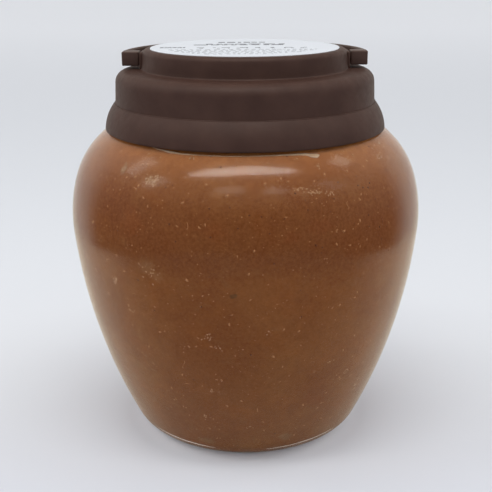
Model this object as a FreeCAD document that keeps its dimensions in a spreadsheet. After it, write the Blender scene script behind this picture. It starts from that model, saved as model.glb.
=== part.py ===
import FreeCAD, Part
import math
import os
import Sketcher
from FreeCAD import Placement, Rotation, Vector

# A wide-shouldered clear jar filled with soybean paste, closed by a tiered screw cap with a folding bail.
# Millimetres, +Z up. The origin is the centre of the circle that the jar stands on.
# The bail lies folded to +Y, and its hinge runs along X through the cap's upper tier.

DRIVING = {
    # jar: flat standing ring, heel, long flank, belly, shoulder and neck
    "BellyRadius": 72.5,      # widest radius of the jar
    "BellyHeight": 93.0,      # height of that widest place
    "BellyArc": 57.8,         # outline radius round the belly
    "ShoulderTurn": 17.4,     # degrees above the belly where the tighter shoulder begins
    "FlankArc": 233.0,        # outline radius of the long lower flank
    "HeelRadius": 11.5,       # rounding between the flank and the standing ring
    "StandRadius": 39.1,      # outer edge of the flat standing ring
    "StandWidth": 5.1,        # radial width of the standing ring
    "PuntHeight": 4.0,        # rise of the hollow base
    "Wall": 1.2,              # wall of the blown body
    "NeckRadius": 48.6,       # outside of the neck
    "NeckWall": 1.8,          # wall of the neck
    "ShoulderRise": 38.5,     # from the widest place up to the foot of the neck
    "NeckHeight": 18.8,       # neck, from its foot to the rim
    "LipRound": 0.5,          # rounding of the rim's edges
    # paste
    "PasteGap": 0.15,         # clearance between the paste and the wall
    "PasteDrop": 6.0,         # level of the paste below the rim
    # cap: upper tier, ledge, middle tier, crease and flared skirt
    "LedgeWidth": 10.45,      # ledge, from its edge in to the foot of the upper tier
    "TierDraft": 0.75,        # how much wider the upper tier is at its foot
    "TierHeight": 8.15,       # upper tier above the ledge
    "TierEdge": 2.0,          # rounding of the upper tier's top edge
    "TierFillet": 0.8,        # fillet at the foot of the upper tier
    "TierWall": 1.9,          # wall of the upper tier
    "TopWall": 1.8,           # thickness of the top
    "DeckThick": 1.9,         # thickness of the ledge that sits on the rim
    "SleeveWall": 1.85,       # wall of the threaded sleeve at the ledge
    "LedgeFall": 0.35,        # fall of the ledge towards its edge
    "LedgeRound": 4.4,        # rounding of the ledge's outer edge
    "SleeveDraft": 0.55,      # how much wider the middle tier is at the crease
    "CreaseStep": 0.45,       # step outwards at the crease
    "SkirtHeight": 10.65,     # skirt from its lower edge to the crease
    "SkirtFlare": 4.0,        # how far the skirt flares out from the crease
    "SkirtArc": 17.0,         # bulge radius of the skirt
    "SkirtWall": 1.5,         # wall of the skirt
    "SkirtGap": 0.45,         # clearance between the skirt and the shoulder
    "SkirtEdge": 0.4,         # rounding of the skirt's lower edge
    "ThreadSpace": 1.75,      # room for the screw thread round the neck
    "SealWall": 1.2,          # ring that plugs the mouth
    "SealDepth": 3.6,
    "SealFit": 0.15,
    # bail and its hinge
    "HingeClear": 0.179,      # clearance over the ledge as the end blocks turn
    "BossProud": 0.65,        # how far the two hinge bosses stand out from the tier's foot
    "BossFront": 4.0,         # boss in front of the hinge axis
    "BossBack": 8.5,          # boss behind the hinge axis
    "BossDrop": 1.5,          # top of the boss below the top of the tier
    "PinRadius": 1.6,
    "PinFit": 0.05,           # radial running clearance of the pin
    "PinLength": 2.0,         # pin inside its hole
    "PinEnd": 0.2,            # clearance at the end of the pin
    "BailThick": 1.9,         # thickness of the strap
    "BailHeight": 5.6,        # height of the strap and of its end blocks
    "BlockWidth": 6.9,        # end block along the hinge axis
    "BlockFront": 2.6,        # end block in front of the hinge axis
    "BlockBack": 4.6,         # end block behind the hinge axis
    "BlockGap": 0.3,          # clearance between block and boss
    "BlockRound": 0.5,        # rounding of the end blocks
    # label
    "LabelMargin": 0.9,       # bare ring between the label and the rounded edge
    "LabelThick": 0.2,
}


class Size:
    """A length that knows both its number and the spreadsheet expression that gives it."""

    def __init__(self, number, text):
        self.number = number
        self.text = text

    def joined(self, other, sign, number):
        other_text = other.text if isinstance(other, Size) else repr(other)
        return Size(number, "(%s %s %s)" % (self.text, sign, other_text))

    def __add__(self, other):
        return self.joined(other, "+", self.number + value_of(other))

    def __sub__(self, other):
        return self.joined(other, "-", self.number - value_of(other))

    def __mul__(self, other):
        return self.joined(other, "*", self.number * value_of(other))

    def __truediv__(self, other):
        return self.joined(other, "/", self.number / value_of(other))

    def __neg__(self):
        return Size(-self.number, "(0 - %s)" % self.text)


def value_of(item):
    return item.number if isinstance(item, Size) else item


def root(size):
    return Size(math.sqrt(size.number), "sqrt(%s)" % size.text)


def sine(angle):
    return Size(math.sin(math.radians(angle.number)), "sin(%s)" % angle.text)


def cosine(angle):
    return Size(math.cos(math.radians(angle.number)), "cos(%s)" % angle.text)


ZERO = Size(0.0, "0")

doc = FreeCAD.newDocument("PasteJar")


# --- driving dimensions ---

def make_sheet():
    sheet = doc.addObject("Spreadsheet::Sheet", "Sizes")
    for row, (name, number) in enumerate(DRIVING.items(), start=1):
        sheet.set("A%d" % row, name)
        sheet.set("B%d" % row, str(number))
        sheet.setAlias("B%d" % row, name)
    doc.recompute()
    return sheet


sheet = make_sheet()


def size(name):
    return Size(float(getattr(sheet, name)), "Sizes.%s" % name)


# --- heights and radii that several pieces share ---

neck_foot = size("BellyHeight") + size("ShoulderRise")
rim_height = neck_foot + size("NeckHeight")
mouth_radius = size("NeckRadius") - size("NeckWall")
paste_level = rim_height - size("PasteDrop")

# the shoulder leaves the belly arc at the turn and passes through the foot of the neck
belly_centre = size("BellyRadius") - size("BellyArc")
turn_across = size("BellyArc") * cosine(size("ShoulderTurn")) + belly_centre
turn_height = size("BellyArc") * sine(size("ShoulderTurn")) + size("BellyHeight")
across = turn_across - size("NeckRadius")
rise = neck_foot - turn_height
inward = across * cosine(size("ShoulderTurn")) - rise * sine(size("ShoulderTurn"))
shoulder_arc = (across * across + rise * rise) / (inward * 2)
shoulder_across = turn_across - shoulder_arc * cosine(size("ShoulderTurn"))
shoulder_height = turn_height - shoulder_arc * sine(size("ShoulderTurn"))

# the cap's radii follow from the neck's: sleeve, middle tier, skirt, and inwards the upper tier
sleeve_radius = size("NeckRadius") + size("ThreadSpace")
ledge_radius = sleeve_radius + size("SleeveWall")
crease_radius = ledge_radius + size("SleeveDraft")
crease_outer = crease_radius + size("CreaseStep")
skirt_radius = crease_outer + size("SkirtFlare")
skirt_inner = skirt_radius - size("SkirtWall")
tier_foot = ledge_radius - size("LedgeWidth")
tier_radius = tier_foot - size("TierDraft")
tier_inner = tier_radius - size("TierWall")
boss_radius = tier_foot + size("BossProud")
block_inner = boss_radius + size("BlockGap")
bail_radius = block_inner + size("BlockWidth")
hole_floor = boss_radius - size("PinLength") - size("PinEnd")

# the cap is drawn with its seat on the rim at zero height
skirt_offset = skirt_inner - shoulder_across
shoulder_under_skirt = root(shoulder_arc * shoulder_arc - skirt_offset * skirt_offset) + shoulder_height
skirt_bottom = shoulder_under_skirt + size("SkirtGap") - rim_height
crease = skirt_bottom + size("SkirtHeight")
ledge = size("DeckThick")
cap_top = ledge + size("TierHeight")
half_bail = size("BailHeight") / 2
block_reach = root(size("BlockFront") * size("BlockFront") + half_bail * half_bail)
hinge = ledge + block_reach + size("HingeClear")
hinge_height = rim_height + hinge


# --- drawing helpers ---

def origin_plane(body, role):
    for feature in body.Origin.OriginFeatures:
        if feature.Role == role:
            return feature
    raise ValueError("no origin plane " + role)


def new_body(name):
    body = doc.addObject("PartDesign::Body", name)
    body.Label = name
    return body


def new_sketch(body, name, role, offset=None):
    sketch = body.newObject("Sketcher::SketchObject", name)
    sketch.AttachmentSupport = [(origin_plane(body, role), "")]
    sketch.MapMode = "FlatFace"
    if offset is not None:
        sketch.AttachmentOffset = Placement(Vector(0, 0, offset.number), Rotation())
        sketch.setExpression("AttachmentOffset.Base.z", offset.text)
    return sketch


def constrain(sketch, kind, *references, value=None):
    """Add a constraint; a Size value is bound to its spreadsheet expression."""
    if value is None:
        return sketch.addConstraint(Sketcher.Constraint(kind, *references))
    index = sketch.addConstraint(Sketcher.Constraint(kind, *references, value.number))
    sketch.setExpression("Constraints[%d]" % index, value.text)
    return index


def pin_point(sketch, edge, end, across_axis, up):
    """Fix an edge's end (1 start, 2 end, 3 centre) at two distances from the sketch's origin."""
    for kind, distance in (("DistanceX", across_axis), ("DistanceY", up)):
        if distance is ZERO:
            axis = -2 if kind == "DistanceX" else -1
            constrain(sketch, "PointOnObject", edge, end, axis)
        else:
            constrain(sketch, kind, -1, 1, edge, end, value=distance)


def add_line(sketch, start, end):
    points = [Vector(value_of(x), value_of(y), 0) for x, y in (start, end)]
    return sketch.addGeometry(Part.LineSegment(*points), False)


def add_arc(sketch, centre, radius, first, last):
    """Add a counter-clockwise arc; first and last are angles in radians."""
    circle = Part.Circle(Vector(centre[0], centre[1], 0), Vector(0, 0, 1), radius)
    return sketch.addGeometry(Part.ArcOfCircle(circle, first, last), False)


def draw_outline(sketch, corners):
    """Closed outline of straight edges, each corner fixed by its two Sizes."""
    edges = []
    for index, corner in enumerate(corners):
        following = corners[(index + 1) % len(corners)]
        edges.append(add_line(sketch, corner, following))
    for index, edge in enumerate(edges):
        constrain(sketch, "Coincident", edge, 2, edges[(index + 1) % len(edges)], 1)
        pin_point(sketch, edge, 1, *corners[index])
    return edges


def revolve(body, sketch, name, kind="PartDesign::Revolution"):
    feature = body.newObject(kind, name)
    feature.Profile = sketch
    feature.ReferenceAxis = (sketch, ["V_Axis"])
    feature.Angle = 360
    doc.recompute()
    return feature


def pad(body, sketch, name, length):
    feature = body.newObject("PartDesign::Pad", name)
    feature.Profile = sketch
    feature.setExpression("Length", length.text)
    doc.recompute()
    return feature


def mirror_across_yz(body, features, name):
    feature = body.newObject("PartDesign::Mirrored", name)
    feature.Originals = features
    feature.MirrorPlane = (origin_plane(body, "YZ_Plane"), [""])
    body.Tip = feature
    doc.recompute()
    return feature


def fillet_edges(body, name, radius, chosen):
    """Round the edges of the body's last feature for which chosen(edge) holds."""
    base = body.Tip
    names = []
    for index, edge in enumerate(base.Shape.Edges, start=1):
        if chosen(edge):
            names.append("Edge%d" % index)
    if not names:
        raise ValueError("no edges for " + name)
    feature = body.newObject("PartDesign::Fillet", name)
    feature.Base = (base, names)
    feature.setExpression("Radius", radius.text)
    doc.recompute()
    return feature


def is_ring(edge, radius, height):
    """True for a level circle about the Z axis with this radius, at this height."""
    if edge.Degenerated or not isinstance(edge.Curve, Part.Circle):
        return False
    curve = edge.Curve
    near_radius = abs(curve.Radius - radius.number) < 0.01
    return near_radius and abs(curve.Center.z - height.number) < 0.01


# --- the jar's outline, used for its outside, its hollow and the paste ---

def flank_circle(inset):
    """Centre of the flank arc, which touches the belly arc and the heel arc from outside both."""
    reach_belly = DRIVING["FlankArc"] - DRIVING["BellyArc"]
    reach_heel = DRIVING["FlankArc"] - DRIVING["HeelRadius"]
    belly = Vector(belly_centre.number, DRIVING["BellyHeight"], 0)
    heel = Vector(DRIVING["StandRadius"], DRIVING["HeelRadius"], 0)
    apart = heel - belly
    along = (reach_belly ** 2 - reach_heel ** 2 + apart.Length ** 2) / (2 * apart.Length)
    side = math.sqrt(reach_belly ** 2 - along ** 2)
    direction = apart / apart.Length
    towards_axis = Vector(direction.y, -direction.x, 0)
    return belly + direction * along + towards_axis * side, DRIVING["FlankArc"] - inset


def jar_outline(sketch, inset, neck_inset, top):
    """Half section from the hollow base out to the heel, up the flank and shoulder, and in along the top."""
    ring_inner = size("StandRadius") - size("StandWidth")
    dome_top = size("PuntHeight") + inset
    dome_arc = (ring_inner * ring_inner + size("PuntHeight") * size("PuntHeight")) / (size("PuntHeight") * 2)
    heel_radius = size("HeelRadius") - inset
    belly_radius = size("BellyArc") - inset
    foot_height = neck_foot - inset
    neck_radius = size("NeckRadius") - neck_inset
    turn = math.radians(DRIVING["ShoulderTurn"])

    dome_angle = math.asin(ring_inner.number / dome_arc.number)
    dome = add_arc(sketch, (0, dome_top.number - dome_arc.number), dome_arc.number,
                   math.pi / 2 - dome_angle, math.pi / 2)
    ring = add_line(sketch, (ring_inner, inset), (size("StandRadius"), inset))

    flank_centre, flank_radius = flank_circle(inset.number)
    heel_centre = Vector(DRIVING["StandRadius"], DRIVING["HeelRadius"], 0)
    belly_middle = Vector(belly_centre.number, DRIVING["BellyHeight"], 0)
    heel_way = heel_centre - flank_centre
    belly_way = belly_middle - flank_centre
    heel_angle = math.atan2(heel_way.y, heel_way.x)
    belly_angle = math.atan2(belly_way.y, belly_way.x)
    heel = add_arc(sketch, heel_centre, heel_radius.number, -math.pi / 2, heel_angle)
    flank = add_arc(sketch, flank_centre, flank_radius, heel_angle, belly_angle)
    belly = add_arc(sketch, belly_middle, belly_radius.number, belly_angle, turn)

    start = Vector(belly_middle.x + belly_radius.number * math.cos(turn),
                   belly_middle.y + belly_radius.number * math.sin(turn), 0)
    end = Vector(neck_radius.number, foot_height.number, 0)
    chord = end - start
    into = Vector(-math.cos(turn), -math.sin(turn), 0)
    radius = chord.Length ** 2 / (2 * chord.dot(into))
    centre = start + into * radius
    end_way = end - centre
    shoulder = add_arc(sketch, centre, radius, turn, math.atan2(end_way.y, end_way.x))

    neck = add_line(sketch, (neck_radius, foot_height), (neck_radius, top))
    lid = add_line(sketch, (neck_radius, top), (ZERO, top))
    axis = add_line(sketch, (ZERO, top), (ZERO, dome_top))

    constrain(sketch, "PointOnObject", dome, 3, -2)
    pin_point(sketch, dome, 2, ZERO, dome_top)
    pin_point(sketch, dome, 1, ring_inner, inset)
    constrain(sketch, "Coincident", dome, 1, ring, 1)
    constrain(sketch, "Tangent", ring, 2, heel, 1)
    pin_point(sketch, heel, 3, size("StandRadius"), size("HeelRadius"))
    constrain(sketch, "Radius", heel, value=heel_radius)
    constrain(sketch, "Tangent", heel, 2, flank, 1)
    constrain(sketch, "Radius", flank, value=size("FlankArc") - inset)
    constrain(sketch, "Tangent", flank, 2, belly, 1)
    pin_point(sketch, belly, 3, belly_centre, size("BellyHeight"))
    constrain(sketch, "Radius", belly, value=belly_radius)
    constrain(sketch, "DistanceY", -1, 1, belly, 2,
              value=belly_radius * sine(size("ShoulderTurn")) + size("BellyHeight"))
    constrain(sketch, "Tangent", belly, 2, shoulder, 1)
    constrain(sketch, "Coincident", shoulder, 2, neck, 1)
    pin_point(sketch, neck, 1, neck_radius, foot_height)
    constrain(sketch, "Vertical", neck)
    constrain(sketch, "Coincident", neck, 2, lid, 1)
    constrain(sketch, "Horizontal", lid)
    constrain(sketch, "Coincident", lid, 2, axis, 1)
    pin_point(sketch, lid, 2, ZERO, top)
    constrain(sketch, "Coincident", axis, 2, dome, 2)


# --- pieces ---

def make_jar():
    body = new_body("jar")
    outside = new_sketch(body, "JarOutside", "XZ_Plane")
    jar_outline(outside, ZERO, ZERO, rim_height)
    revolve(body, outside, "JarBlank")
    hollow = new_sketch(body, "JarHollow", "XZ_Plane")
    jar_outline(hollow, size("Wall"), size("NeckWall"), rim_height + size("NeckWall"))
    revolve(body, hollow, "JarShell", "PartDesign::Groove")
    fillet_edges(body, "JarLip", size("LipRound"),
                 lambda edge: is_ring(edge, size("NeckRadius"), rim_height)
                 or is_ring(edge, mouth_radius, rim_height))
    return body


def make_paste():
    body = new_body("paste")
    section = new_sketch(body, "PasteSection", "XZ_Plane")
    jar_outline(section, size("Wall") + size("PasteGap"), size("NeckWall") + size("PasteGap"), paste_level)
    revolve(body, section, "PasteFill")
    return body


def skirt_arc_centre(start, end, radius):
    """Centre of an arc that bulges away from the axis between two points."""
    middle = (start + end) / 2
    chord = end - start
    inwards = Vector(chord.y, -chord.x, 0) / chord.Length
    return middle + inwards * math.sqrt(radius ** 2 - (chord.Length / 2) ** 2)


def draw_with_skirt(sketch, corners, skirt_edge, radius):
    """Outline of straight edges, apart from the skirt's edge, which bulges outwards."""
    edges = []
    for index, corner in enumerate(corners):
        following = corners[(index + 1) % len(corners)]
        if index != skirt_edge:
            edges.append(add_line(sketch, corner, following))
            continue
        low = Vector(value_of(corner[0]), value_of(corner[1]), 0)
        high = Vector(value_of(following[0]), value_of(following[1]), 0)
        centre = skirt_arc_centre(high, low, radius.number)
        first = math.atan2(low.y - centre.y, low.x - centre.x)
        last = math.atan2(high.y - centre.y, high.x - centre.x)
        edges.append(add_arc(sketch, centre, radius.number, first, last))
        constrain(sketch, "Radius", edges[-1], value=radius)
    for index, edge in enumerate(edges):
        constrain(sketch, "Coincident", edge, 2, edges[(index + 1) % len(edges)], 1)
        pin_point(sketch, edge, 1, *corners[index])


def make_cap():
    body = new_body("cap")
    ledge_edge = ledge - size("LedgeFall")

    # outside, from the axis under the skirt round to the top
    outside = new_sketch(body, "CapOutside", "XZ_Plane")
    draw_with_skirt(outside, [
        (ZERO, skirt_bottom),
        (skirt_radius, skirt_bottom),
        (crease_outer, crease),
        (crease_radius, crease),
        (ledge_radius, ledge_edge),
        (tier_foot, ledge),
        (tier_radius, cap_top),
        (ZERO, cap_top),
    ], 1, size("SkirtArc"))
    revolve(body, outside, "CapBlank")
    fillet_edges(body, "CapTopEdge", size("TierEdge"), lambda edge: is_ring(edge, tier_radius, cap_top))
    fillet_edges(body, "CapTierFoot", size("TierFillet"), lambda edge: is_ring(edge, tier_foot, ledge))
    fillet_edges(body, "CapLedgeEdge", size("LedgeRound"),
                 lambda edge: is_ring(edge, ledge_radius, ledge_edge))
    fillet_edges(body, "CapSkirtEdge", size("SkirtEdge"),
                 lambda edge: is_ring(edge, skirt_radius, skirt_bottom))

    # hinge bosses on the upper tier, left and right
    boss = new_sketch(body, "BossPlan", "XY_Plane", ledge / 2)
    front = math.asin(DRIVING["BossFront"] / boss_radius.number)
    back = math.asin(DRIVING["BossBack"] / boss_radius.number)
    root_radius = tier_inner + size("TierWall") / 2
    outer = add_arc(boss, (0, 0), boss_radius.number, -front, back)
    root_front = (root_radius, -size("BossFront"))
    root_back = (root_radius, size("BossBack"))
    outer_front = Vector(boss_radius.number * math.cos(front), -DRIVING["BossFront"], 0)
    outer_back = Vector(boss_radius.number * math.cos(back), DRIVING["BossBack"], 0)
    back_line = add_line(boss, (outer_back.x, outer_back.y), root_back)
    root_line = add_line(boss, root_back, root_front)
    front_line = add_line(boss, root_front, (outer_front.x, outer_front.y))
    constrain(boss, "Coincident", outer, 3, -1, 1)
    constrain(boss, "Radius", outer, value=boss_radius)
    constrain(boss, "Coincident", outer, 2, back_line, 1)
    constrain(boss, "Coincident", back_line, 2, root_line, 1)
    constrain(boss, "Coincident", root_line, 2, front_line, 1)
    constrain(boss, "Coincident", front_line, 2, outer, 1)
    constrain(boss, "Horizontal", back_line)
    constrain(boss, "Horizontal", front_line)
    pin_point(boss, root_line, 1, *root_back)
    pin_point(boss, root_line, 2, root_radius, -size("BossFront"))
    boss_pad = pad(body, boss, "HingeBoss", cap_top - size("BossDrop") - ledge / 2)
    mirror_across_yz(body, [boss_pad], "HingeBosses")

    # hollow, from the axis under the skirt up round the sleeve and the tier
    below = skirt_bottom - size("SkirtWall")
    sleeve_foot = crease + size("SkirtWall") / 2
    hollow = new_sketch(body, "CapHollow", "XZ_Plane")
    draw_with_skirt(hollow, [
        (ZERO, below),
        (skirt_inner, below),
        (skirt_inner, skirt_bottom),
        (sleeve_radius, sleeve_foot),
        (sleeve_radius, ZERO),
        (tier_inner, ZERO),
        (tier_inner, cap_top - size("TopWall")),
        (ZERO, cap_top - size("TopWall")),
    ], 2, size("SkirtArc"))
    revolve(body, hollow, "CapShell", "PartDesign::Groove")

    # ring that plugs the mouth of the jar
    seal_outer = mouth_radius - size("SealFit")
    seal_inner = seal_outer - size("SealWall")
    seal = new_sketch(body, "SealSection", "XZ_Plane")
    draw_outline(seal, [
        (seal_inner, -size("SealDepth")),
        (seal_outer, -size("SealDepth")),
        (seal_outer, ledge / 2),
        (seal_inner, ledge / 2),
    ])
    revolve(body, seal, "SealRing")

    # blind holes for the bail's pins
    hole = new_sketch(body, "HolePlan", "YZ_Plane", hole_floor)
    hole_radius = size("PinRadius") + size("PinFit")
    circle = hole.addGeometry(Part.Circle(Vector(0, hinge.number, 0), Vector(0, 0, 1), hole_radius.number), False)
    pin_point(hole, circle, 3, ZERO, hinge)
    constrain(hole, "Radius", circle, value=hole_radius)
    doc.recompute()
    before = body.Shape.Volume
    pocket = body.newObject("PartDesign::Pocket", "PinHole")
    pocket.Profile = hole
    pocket.setExpression("Length", (size("PinLength") + size("PinEnd") + size("BlockGap")).text)
    pocket.Reversed = True
    doc.recompute()
    if pocket.Shape.Volume >= before:
        raise ValueError("the pin hole cuts nothing")
    mirror_across_yz(body, [pocket], "PinHoles")

    body.setExpression("Placement.Base.z", rim_height.text)
    return body


def make_bail():
    body = new_body("handle")
    inner_radius = bail_radius - size("BailThick")

    # the strap, half a ring folded back round the upper tier
    plan = new_sketch(body, "StrapPlan", "XY_Plane", -half_bail)
    outer = add_arc(plan, (0, 0), bail_radius.number, 0, math.pi)
    inner = add_arc(plan, (0, 0), inner_radius.number, 0, math.pi)
    left = add_line(plan, (-bail_radius, ZERO), (-inner_radius, ZERO))
    right = add_line(plan, (inner_radius, ZERO), (bail_radius, ZERO))
    for arc, radius in ((outer, bail_radius), (inner, inner_radius)):
        constrain(plan, "Coincident", arc, 3, -1, 1)
        constrain(plan, "Radius", arc, value=radius)
        constrain(plan, "PointOnObject", arc, 1, -1)
        constrain(plan, "PointOnObject", arc, 2, -1)
    constrain(plan, "Coincident", outer, 2, left, 1)
    constrain(plan, "Coincident", left, 2, inner, 2)
    constrain(plan, "Coincident", inner, 1, right, 1)
    constrain(plan, "Coincident", right, 2, outer, 1)
    pad(body, plan, "Strap", size("BailHeight"))

    # the end blocks, with the pin on the inner face
    block = new_sketch(body, "BlockPlan", "XY_Plane", -half_bail)
    draw_outline(block, [
        (block_inner, -size("BlockFront")),
        (bail_radius, -size("BlockFront")),
        (bail_radius, size("BlockBack")),
        (block_inner, size("BlockBack")),
    ])
    block_pad = pad(body, block, "EndBlock", size("BailHeight"))
    mirror_across_yz(body, [block_pad], "EndBlocks")

    def on_block(edge):
        """Edges of the flat front faces, and the upright edges of the blocks' inner faces."""
        points = [vertex.Point for vertex in edge.Vertexes]
        if len(points) < 2:
            return False
        in_front = all(abs(point.y + DRIVING["BlockFront"]) < 0.01 for point in points)
        inner_face = all(abs(abs(point.x) - block_inner.number) < 0.01 for point in points)
        return in_front or inner_face

    fillet_edges(body, "BlockEdges", size("BlockRound"), on_block)

    pin_plan = new_sketch(body, "PinPlan", "YZ_Plane", hole_floor + size("PinEnd"))
    circle = pin_plan.addGeometry(Part.Circle(Vector(0, 0, 0), Vector(0, 0, 1), DRIVING["PinRadius"]), False)
    constrain(pin_plan, "Coincident", circle, 3, -1, 1)
    constrain(pin_plan, "Radius", circle, value=size("PinRadius"))
    pin_pad = pad(body, pin_plan, "Pin", size("PinLength") + size("BlockGap") + size("PinRadius"))
    mirror_across_yz(body, [pin_pad], "Pins")

    body.setExpression("Placement.Base.z", hinge_height.text)
    return body


def make_label():
    disc = doc.addObject("Part::Cylinder", "label")
    disc.Label = "label"
    disc.setExpression("Radius", (tier_radius - size("TierEdge") - size("LabelMargin")).text)
    disc.setExpression("Height", size("LabelThick").text)
    disc.setExpression("Placement.Base.z", (rim_height + cap_top).text)
    return disc


pieces = [make_jar(), make_paste(), make_cap(), make_bail(), make_label()]
doc.recompute()

# --- check and write ---

for item in doc.Objects:
    if "Invalid" in item.State or "Error" in item.State:
        raise ValueError("failed object: " + item.Name)

os.makedirs("parts", exist_ok=True)
for piece in pieces:
    shape = piece.Shape
    if shape.isNull() or not shape.isValid() or len(shape.Solids) != 1:
        raise ValueError("bad shape: " + piece.Label)
    shape.exportStep("parts/%s.step" % piece.Label)
    print("%-8s %9.1f mm3   %s" % (piece.Label, shape.Volume, shape.BoundBox))
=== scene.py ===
import math
import random
import bpy
import bmesh
from mathutils import Matrix, Vector, noise


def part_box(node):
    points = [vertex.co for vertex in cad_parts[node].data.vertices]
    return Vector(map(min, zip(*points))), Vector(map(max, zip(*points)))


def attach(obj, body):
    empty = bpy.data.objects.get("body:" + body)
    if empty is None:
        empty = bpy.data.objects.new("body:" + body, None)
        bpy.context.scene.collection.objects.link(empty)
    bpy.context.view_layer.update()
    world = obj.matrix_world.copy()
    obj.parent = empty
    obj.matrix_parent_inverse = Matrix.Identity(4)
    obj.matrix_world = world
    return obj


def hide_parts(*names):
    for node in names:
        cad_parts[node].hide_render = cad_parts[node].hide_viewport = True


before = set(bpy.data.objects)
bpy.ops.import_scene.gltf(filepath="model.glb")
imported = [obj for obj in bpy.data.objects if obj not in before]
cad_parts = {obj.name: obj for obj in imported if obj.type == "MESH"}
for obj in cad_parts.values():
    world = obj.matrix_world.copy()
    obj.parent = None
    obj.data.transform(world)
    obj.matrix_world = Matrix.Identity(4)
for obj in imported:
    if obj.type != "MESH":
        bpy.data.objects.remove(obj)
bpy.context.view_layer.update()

# A clear, wide-shouldered jar of soybean paste with a tiered screw cap, a folding bail and a round label.
# Section sizes are millimetres, turned to metres when a mesh is made; z is up and the front is -y.
mm = 0.001
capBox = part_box("cap")
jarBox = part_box("jar")
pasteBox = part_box("paste")
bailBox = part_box("handle")
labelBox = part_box("label")


def widest(box):
    # the radius that a round piece may reach inside its packed box
    return min(-box[0].x, box[1].x, -box[0].y, box[1].y) / mm


def arcPoints(centre, radius, first, last, step=0.9):
    count = max(3, round(abs(last - first) * radius / step))
    turns = [first + (last - first) * i / count for i in range(count + 1)]
    return [(centre[0] + radius * math.cos(a), centre[1] + radius * math.sin(a)) for a in turns]


def straightPoints(start, end, step=1.2):
    length = math.dist(start, end)
    count = max(1, round(length / step))
    return [(start[0] + (end[0] - start[0]) * i / count, start[1] + (end[1] - start[1]) * i / count)
            for i in range(count + 1)]


def roundedPath(corners):
    # corners are (radius from the axis, height, rounding); the result is points along the rounded path
    points = []
    last = len(corners) - 1
    for i, (r, z, rounding) in enumerate(corners):
        here = Vector((r, z))
        if i in (0, last) or rounding == 0:
            piece = [(r, z)]
        else:
            back = (Vector(corners[i - 1][:2]) - here).normalized()
            ahead = (Vector(corners[i + 1][:2]) - here).normalized()
            half = back.angle(ahead) / 2
            reach = rounding / math.tan(half)
            centre = here + (back + ahead).normalized() * (rounding / math.sin(half))
            start = here + back * reach - centre
            end = here + ahead * reach - centre
            first = math.atan2(start.y, start.x)
            sweep = math.atan2(end.y, end.x) - first
            sweep = (sweep + math.pi) % (2 * math.pi) - math.pi
            piece = arcPoints(centre, rounding, first, first + sweep, step=min(0.9, rounding / 4))
        if points:
            points += straightPoints(points[-1], piece[0])[1:-1]
        points += piece
    return points


jarShape = {
    "bellyHeight": 93.0,
    "bellyArc": 57.8,
    "shoulderTurn": 17.4,
    "flankArc": 233.0,
    "heelRadius": 11.5,
    "standRadius": 39.1,
    "standWidth": 5.1,
    "puntHeight": 4.0,
    "wall": 1.2,
    "neckRadius": 48.6,
    "neckWall": 1.8,
    "neckFoot": 132.5,
    "lipRound": 0.5,
    "turns": 224,
}
# the paste reaches a little way into the wall, and its top is uneven
pasteShape = {
    "intoWall": 0.1,
    "skinTop": 145,
    "mound": 0.9,
    "moundEdge": 6,
    "moundGrain": 14.0,
    "lumpGrain": 3,
    "lumpShare": 0.4,
    "turns": 200,
}


def jarSection(inset, neckInset, top):
    # half section from the middle of the hollow base to the heel, flank, belly, shoulder and neck
    s = jarShape
    ringInner = s["standRadius"] - s["standWidth"]
    domeTop = s["puntHeight"] + inset
    domeArc = (ringInner ** 2 + s["puntHeight"] ** 2) / (2 * s["puntHeight"])
    domeAngle = math.asin(ringInner / domeArc)
    heel = Vector((s["standRadius"], s["heelRadius"]))
    belly = Vector((widest(jarBox) - s["bellyArc"], s["bellyHeight"]))
    reachBelly = s["flankArc"] - s["bellyArc"]
    reachHeel = s["flankArc"] - s["heelRadius"]
    apart = heel - belly
    along = (reachBelly ** 2 - reachHeel ** 2 + apart.length ** 2) / (2 * apart.length)
    way = apart.normalized()
    flank = belly + way * along + Vector((way.y, -way.x)) * math.sqrt(reachBelly ** 2 - along ** 2)
    heelAngle = math.atan2(heel.y - flank.y, heel.x - flank.x)
    bellyAngle = math.atan2(belly.y - flank.y, belly.x - flank.x)
    turn = math.radians(s["shoulderTurn"])
    bellyEdge = s["bellyArc"] - inset
    outwards = Vector((math.cos(turn), math.sin(turn)))
    start = belly + outwards * bellyEdge
    end = Vector((s["neckRadius"] - neckInset, s["neckFoot"] - inset))
    chord = end - start
    shoulderArc = chord.length ** 2 / (-2 * chord.dot(outwards))
    shoulder = start - outwards * shoulderArc
    endAngle = math.atan2(end.y - shoulder.y, end.x - shoulder.x)
    points = arcPoints((0, domeTop - domeArc), domeArc, math.pi / 2, math.pi / 2 - domeAngle)
    points += straightPoints((ringInner, inset), (s["standRadius"], inset))[1:]
    points += arcPoints(heel, s["heelRadius"] - inset, -math.pi / 2, heelAngle, step=0.6)[1:]
    points += arcPoints(flank, s["flankArc"] - inset, heelAngle, bellyAngle)[1:]
    points += arcPoints(belly, bellyEdge, bellyAngle, turn)[1:]
    points += arcPoints(shoulder, shoulderArc, turn, endAngle)[1:]
    points += straightPoints((end.x, end.y), (end.x, top))[1:]
    return points


skinInset = jarShape["wall"] - pasteShape["intoWall"]
skinSide = [point for point in jarSection(skinInset, skinInset, pasteShape["skinTop"])
            if point[0] > jarShape["standRadius"] - 1]


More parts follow.
